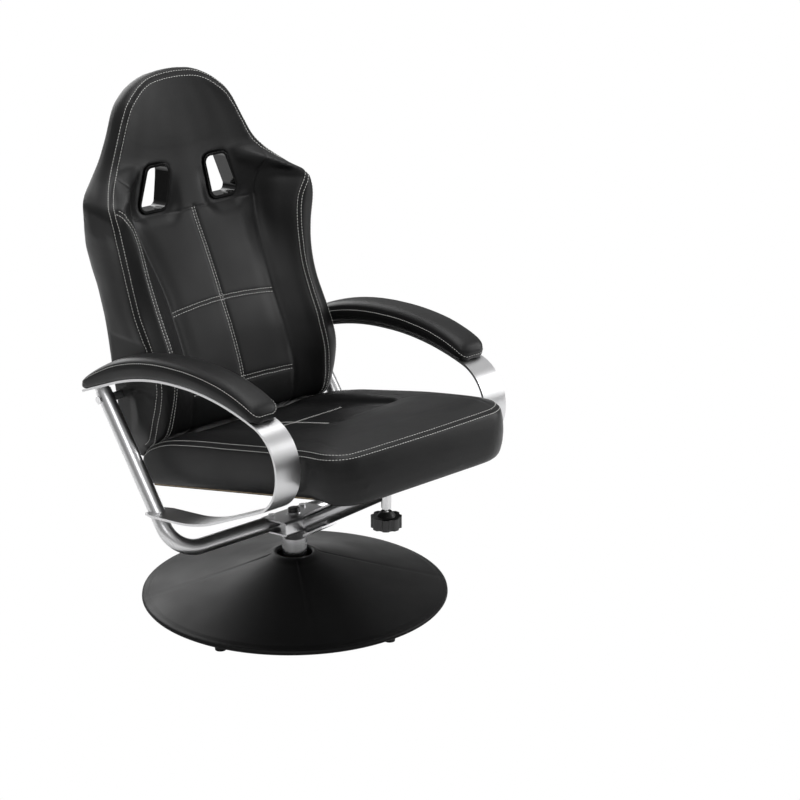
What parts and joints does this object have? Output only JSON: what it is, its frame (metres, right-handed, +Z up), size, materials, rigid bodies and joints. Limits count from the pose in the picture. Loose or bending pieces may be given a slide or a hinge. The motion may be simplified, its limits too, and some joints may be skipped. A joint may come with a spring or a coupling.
{
  "type": "reclining armchair",
  "caption": "Upholstered high-back recliner with flat-bar loop arms, on a round swivel base, with a hand knob that locks the recline.",
  "frame": {"origin": "on the floor, in the middle of the whole chair's width and depth; the swivel axis is 7 mm behind it", "axes": "+Z up, the chair faces -Y, +X to the sitter's left"},
  "size_m": [0.64, 0.821, 1.067],
  "materials": {
    "leather": "soft sheen, fine grain",
    "leather_pad": "leather cover over foam, white thread",
    "satin_steel": "satin",
    "dark_steel": "black oxide",
    "painted_steel": "semi-gloss black",
    "black_plastic": "satin black",
    "fibreboard": "raw board",
    "dark_cloth": "non-woven cloth"
  },
  "bodies": {
    "base": {"base_feet": "black_plastic", "base_board": "fibreboard", "base_dome": "painted_steel", "base_cover": "leather", "base_collar": "black_plastic", "post_flange": "painted_steel", "flange_bolts": "satin_steel", "post_tube": "satin_steel", "post_bushes": "black_plastic", "thrust_washer": "black_plastic", "bush_screws": "satin_steel"},
    "frame": {"spindle": "dark_steel", "bracket_channel": "satin_steel", "channel_spacer": "satin_steel", "centre_bolt": "dark_steel", "centre_washer": "satin_steel", "side_tube_right": "satin_steel", "side_tube_left": "satin_steel", "tube_spigots": "satin_steel", "spigot_bolts": "satin_steel", "tube_plugs": "satin_steel", "arm_bar_right": "satin_steel", "arm_bar_left": "satin_steel", "arm_pad_right": "leather_pad", "arm_pad_left": "leather_pad", "arm_pad_board_right": "fibreboard", "arm_pad_board_left": "fibreboard", "pad_screws": "satin_steel", "support_tube": "satin_steel", "support_gussets": "satin_steel", "clamp_saddle": "black_plastic", "clamp_barrel": "satin_steel", "guide_bolt": "satin_steel", "pivot_spacers": "satin_steel", "pivot_bolts": "satin_steel"},
    "clamp_shoe": {"clamp_shoe": "black_plastic"},
    "clamp_knob": {"knob": "black_plastic", "knob_insert": "satin_steel", "clamp_stud": "satin_steel"},
    "seat": {"seat_cushion": "leather_pad", "seat_board": "fibreboard", "seat_dust_cover": "dark_cloth", "seat_rail": "satin_steel", "rail_caps": "black_plastic", "rail_screws": "satin_steel", "seat_lugs": "painted_steel", "lug_screws": "satin_steel"},
    "back": {"back_cushion": "leather_pad", "back_rear_cover": "leather_pad", "back_board": "fibreboard", "head_bezel_right": "black_plastic", "head_bezel_left": "black_plastic", "back_lugs": "painted_steel", "hinge_bracket_right": "painted_steel", "hinge_bracket_left": "painted_steel", "bracket_screws": "satin_steel"}
  },
  "joints": [
    {"name": "swivel", "type": "hinge", "parent": "base", "child": "frame", "pos_m": [0, 0.007, 0], "axis": [0, 0, 1], "continuous": true},
    {"name": "recline", "type": "hinge", "parent": "frame", "child": "back", "pos_m": [0, 0.267, 0.444], "axis": [-1, 0, 0], "range_deg": [0, 25]},
    {"name": "seat_slide", "type": "slide", "parent": "frame", "child": "seat", "axis": [0, -0.9763, 0.2164], "range_m": [0, 0.0625]},
    {"name": "clamp_lift", "type": "slide", "parent": "frame", "child": "clamp_shoe", "axis": [0, 0, 1], "range_m": [-0.003, 0]},
    {"name": "knob_turn", "type": "hinge", "parent": "clamp_shoe", "child": "clamp_knob", "pos_m": [0, -0.274, 0.26], "axis": [0, 0, 1], "range_deg": [-720, 0]}
  ],
  "couplings": [
    {"joint": "seat_slide", "follows": "recline", "m_per_rad": 0.1428},
    {"joint": "knob_turn", "follows": "clamp_lift", "rad_per_m": 4188.8}
  ]
}
